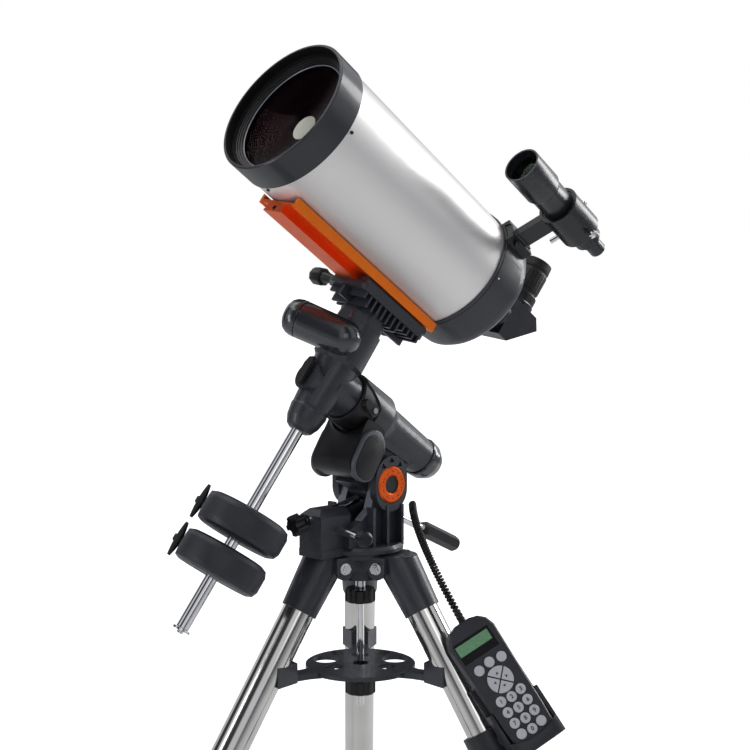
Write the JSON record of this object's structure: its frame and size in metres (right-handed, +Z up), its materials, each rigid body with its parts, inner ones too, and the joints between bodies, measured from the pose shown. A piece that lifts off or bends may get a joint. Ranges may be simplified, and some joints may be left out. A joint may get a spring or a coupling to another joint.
{
  "type": "catadioptric telescope on equatorial mount",
  "caption": "Closed-tube catadioptric telescope with finder on a motorised German equatorial mount, steel tripod, counterweights and hand controller.",
  "frame": {"origin": "on the floor under the azimuth axis, the centre of the circle through the three feet", "axes": "+Z up along the azimuth axis; the upper end of the polar axis points towards -X; the altitude axis is along Y"},
  "size_m": [0.8735, 0.8484, 1.4842],
  "materials": {
    "cast_grey": "satin",
    "black_plastic": "matt",
    "motor_plastic": "semi gloss",
    "stainless": "polished stainless",
    "chrome": "bright",
    "orange_anodised": "satin anodised",
    "tube_silver": "metallic satin",
    "black_metal": "satin",
    "glass": "coated",
    "mirror": "polished",
    "weight_grey": "satin",
    "rubber": "matt",
    "key_white": "matt",
    "display_green": "glossy",
    "brass": "machined"
  },
  "bodies": {
    "tripod": {"tripod_head": "black_metal", "head_bolts": "chrome", "leg_castings": "cast_grey", "leg_tubes": "stainless", "leg_locks": "black_plastic", "tray": "cast_grey", "controller_holder": "black_plastic"},
    "leg_a": {"lower_leg_a": "stainless"},
    "leg_b": {"lower_leg_b": "stainless"},
    "leg_c": {"lower_leg_c": "stainless"},
    "rod": {"centre_rod": "chrome", "head_knob": "black_plastic"},
    "tray_nut": {"tray_knob": "black_plastic"},
    "azimuth": {"azimuth_base": "cast_grey", "pivot_rings": "orange_anodised", "pivot_pin": "black_metal"},
    "azimuth_near": {"azimuth_screw_near": "chrome"},
    "azimuth_far": {"azimuth_screw_far": "chrome"},
    "tilt_front": {"altitude_screw_front": "chrome"},
    "tilt_rear": {"altitude_screw_rear": "chrome"},
    "altitude": {"ra_housing": "cast_grey", "motor_cover": "black_plastic"},
    "ra_cap": {"ra_rear_cap": "motor_plastic"},
    "ra_lever": {"ra_clutch": "black_plastic"},
    "ra": {"clutch_drum": "black_plastic", "worm_wheel": "brass", "dec_housing": "cast_grey", "dec_lower_cap": "cast_grey", "dec_motor_cover": "motor_plastic", "counter_shaft": "chrome"},
    "dec_lever": {"dec_clutch": "black_plastic"},
    "weight_upper": {"counterweight_upper": "weight_grey"},
    "weight_lower": {"counterweight_lower": "weight_grey"},
    "weight_clamp_upper": {"weight_knob_upper": "black_plastic"},
    "weight_clamp_lower": {"weight_knob_lower": "black_plastic"},
    "tube": {"saddle": "cast_grey", "dovetail": "orange_anodised", "front_ring": "black_metal", "main_tube": "tube_silver", "rear_cell": "black_metal", "corrector": "glass", "secondary_spot": "mirror", "baffle_tube": "black_metal", "visual_back": "black_metal", "finder_shoe": "black_plastic"},
    "jaw": {"saddle_jaw": "cast_grey"},
    "jaw_knob": {"saddle_knob": "black_plastic"},
    "focuser": {"focus_knob": "rubber"},
    "mirror": {"primary_mirror": "mirror"},
    "star_diagonal": {"diagonal": "black_metal"},
    "eyepiece": {"eyepiece": "rubber"},
    "finder": {"finder_bracket": "black_metal", "finder_scope": "black_metal", "finder_lens": "glass", "finder_screws": "chrome"},
    "controller": {"controller_body": "black_plastic", "controller_screen": "display_green", "hand_cable": "rubber"},
    "direction_keys": {"keys_direction": "key_white"},
    "number_keys": {"keys_round": "key_white"}
  },
  "joints": [
    {"name": "leg_extend_a", "type": "slide", "parent": "tripod", "child": "leg_a", "axis": [0.3508, 0.3709, -0.8599], "range_m": [0, 0.2]},
    {"name": "leg_extend_b", "type": "slide", "parent": "tripod", "child": "leg_b", "axis": [-0.4966, 0.1183, -0.8599], "range_m": [0, 0.2]},
    {"name": "leg_extend_c", "type": "slide", "parent": "tripod", "child": "leg_c", "axis": [0.1459, -0.4893, -0.8599], "range_m": [0, 0.2]},
    {"name": "rod_turn", "type": "hinge", "parent": "tripod", "child": "rod", "pos_m": [0, 0, 0.66], "axis": [0, 0, 1], "continuous": true},
    {"name": "tray_knob_turn", "type": "hinge", "parent": "tripod", "child": "tray_nut", "pos_m": [0, 0, 0.5], "axis": [0, 0, 1], "continuous": true},
    {"name": "azimuth_turn", "type": "hinge", "parent": "tripod", "child": "azimuth", "pos_m": [0, 0, 0.72], "axis": [0, 0, 1], "range_deg": [-7, 7]},
    {"name": "azimuth_screw_near_turn", "type": "hinge", "parent": "azimuth", "child": "azimuth_near", "pos_m": [-0.076, -0.035, 0.762], "axis": [-0.277, -0.9609, 0], "continuous": true},
    {"name": "azimuth_screw_far_turn", "type": "hinge", "parent": "azimuth", "child": "azimuth_far", "pos_m": [-0.076, 0.035, 0.762], "axis": [-0.277, 0.9609, 0], "continuous": true},
    {"name": "altitude_tilt", "type": "hinge", "parent": "azimuth", "child": "altitude", "pos_m": [0.0204, 0, 0.8246], "axis": [0, 1, 0], "range_deg": [-11, 32]},
    {"name": "altitude_screw_front_turn", "type": "hinge", "parent": "azimuth", "child": "tilt_front", "pos_m": [-0.0958, 0, 0.7815], "axis": [0.9797, 0, 0.2006], "continuous": true},
    {"name": "altitude_screw_rear_turn", "type": "hinge", "parent": "azimuth", "child": "tilt_rear", "pos_m": [0.136, 0, 0.7373], "axis": [-0.906, 0, 0.4233], "continuous": true},
    {"name": "ra_cap_pull", "type": "slide", "parent": "altitude", "child": "ra_cap", "axis": [-0.8387, 0, 0.5446], "range_m": [-0.04, 0]},
    {"name": "ra_clutch_turn", "type": "hinge", "parent": "altitude", "child": "ra_lever", "pos_m": [-0.01838, -0.0456, 0.94286], "axis": [0, -1, 0], "range_deg": [-45, 45]},
    {"name": "ra_turn", "type": "hinge", "parent": "altitude", "child": "ra", "pos_m": [-0.0724, 0, 0.9882], "axis": [-0.8387, 0, 0.5446], "range_deg": [-78, 95]},
    {"name": "dec_clutch_turn", "type": "hinge", "parent": "ra", "child": "dec_lever", "pos_m": [-0.10734, 0.00285, 1.00416], "axis": [-0.8387, 0, 0.5446], "range_deg": [-30, 30]},
    {"name": "dec_turn", "type": "hinge", "parent": "ra", "child": "tube", "pos_m": [-0.0724, 0, 0.9882], "axis": [0.5388, -0.1461, 0.8297], "range_deg": [-180, 180]},
    {"name": "weight_upper_slide", "type": "slide", "parent": "ra", "child": "weight_upper", "axis": [0.5388, -0.1461, 0.8297], "range_m": [-0.06, 0.005]},
    {"name": "weight_lower_slide", "type": "slide", "parent": "weight_upper", "child": "weight_lower", "axis": [0.5388, -0.1461, 0.8297], "range_m": [-0.015, 0]},
    {"name": "weight_knob_upper_turn", "type": "hinge", "parent": "weight_upper", "child": "weight_clamp_upper", "pos_m": [-0.20858, 0.03692, 0.7785], "axis": [-0.5839, 0.6451, 0.4928], "continuous": true},
    {"name": "weight_knob_lower_turn", "type": "hinge", "parent": "weight_lower", "child": "weight_clamp_lower", "pos_m": [-0.24333, 0.04634, 0.72499], "axis": [-0.5839, 0.6451, 0.4928], "continuous": true},
    {"name": "saddle_knob_turn", "type": "hinge", "parent": "tube", "child": "jaw_knob", "pos_m": [-0.01901, 0.03708, 1.14386], "axis": [0.0796, 0.9893, 0.1225], "range_deg": [0, 1080]},
    {"name": "saddle_jaw_slide", "type": "slide", "parent": "tube", "child": "jaw", "axis": [0.0796, 0.9893, 0.1225], "range_m": [0, 0.003]},
    {"name": "focus_turn", "type": "hinge", "parent": "tube", "child": "focuser", "pos_m": [0.25876, -0.00479, 1.15462], "axis": [-0.8387, 0, 0.5446], "range_deg": [-1800, 1800]},
    {"name": "mirror_slide", "type": "slide", "parent": "tube", "child": "mirror", "axis": [-0.8387, 0, 0.5446], "range_m": [-0.00375, 0.00375]},
    {"name": "diagonal_turn", "type": "hinge", "parent": "tube", "child": "star_diagonal", "pos_m": [0.24957, -0.0402, 1.10373], "axis": [-0.8387, 0, 0.5446], "range_deg": [-120, 120]},
    {"name": "eyepiece_pull", "type": "slide", "parent": "star_diagonal", "child": "eyepiece", "axis": [0.5388, -0.1461, 0.8297], "range_m": [0, 0.03]},
    {"name": "finder_slide", "type": "slide", "parent": "tube", "child": "finder", "axis": [0.8387, 0, -0.5446], "range_m": [0, 0.04]},
    {"name": "controller_lift", "type": "slide", "parent": "tripod", "child": "controller", "axis": [-0.5476, -0.7539, 0.3631], "range_m": [0, 0.06]},
    {"name": "direction_keys_press", "type": "slide", "parent": "controller", "child": "direction_keys", "axis": [0.5476, 0.7539, -0.3631], "range_m": [0, 0.001]},
    {"name": "number_keys_press", "type": "slide", "parent": "controller", "child": "number_keys", "axis": [0.5476, 0.7539, -0.3631], "range_m": [0, 0.001]}
  ],
  "couplings": [
    {"joint": "saddle_knob_turn", "follows": "saddle_jaw_slide", "rad_per_m": 6283.2},
    {"joint": "focus_turn", "follows": "mirror_slide", "rad_per_m": 8377.6}
  ]
}
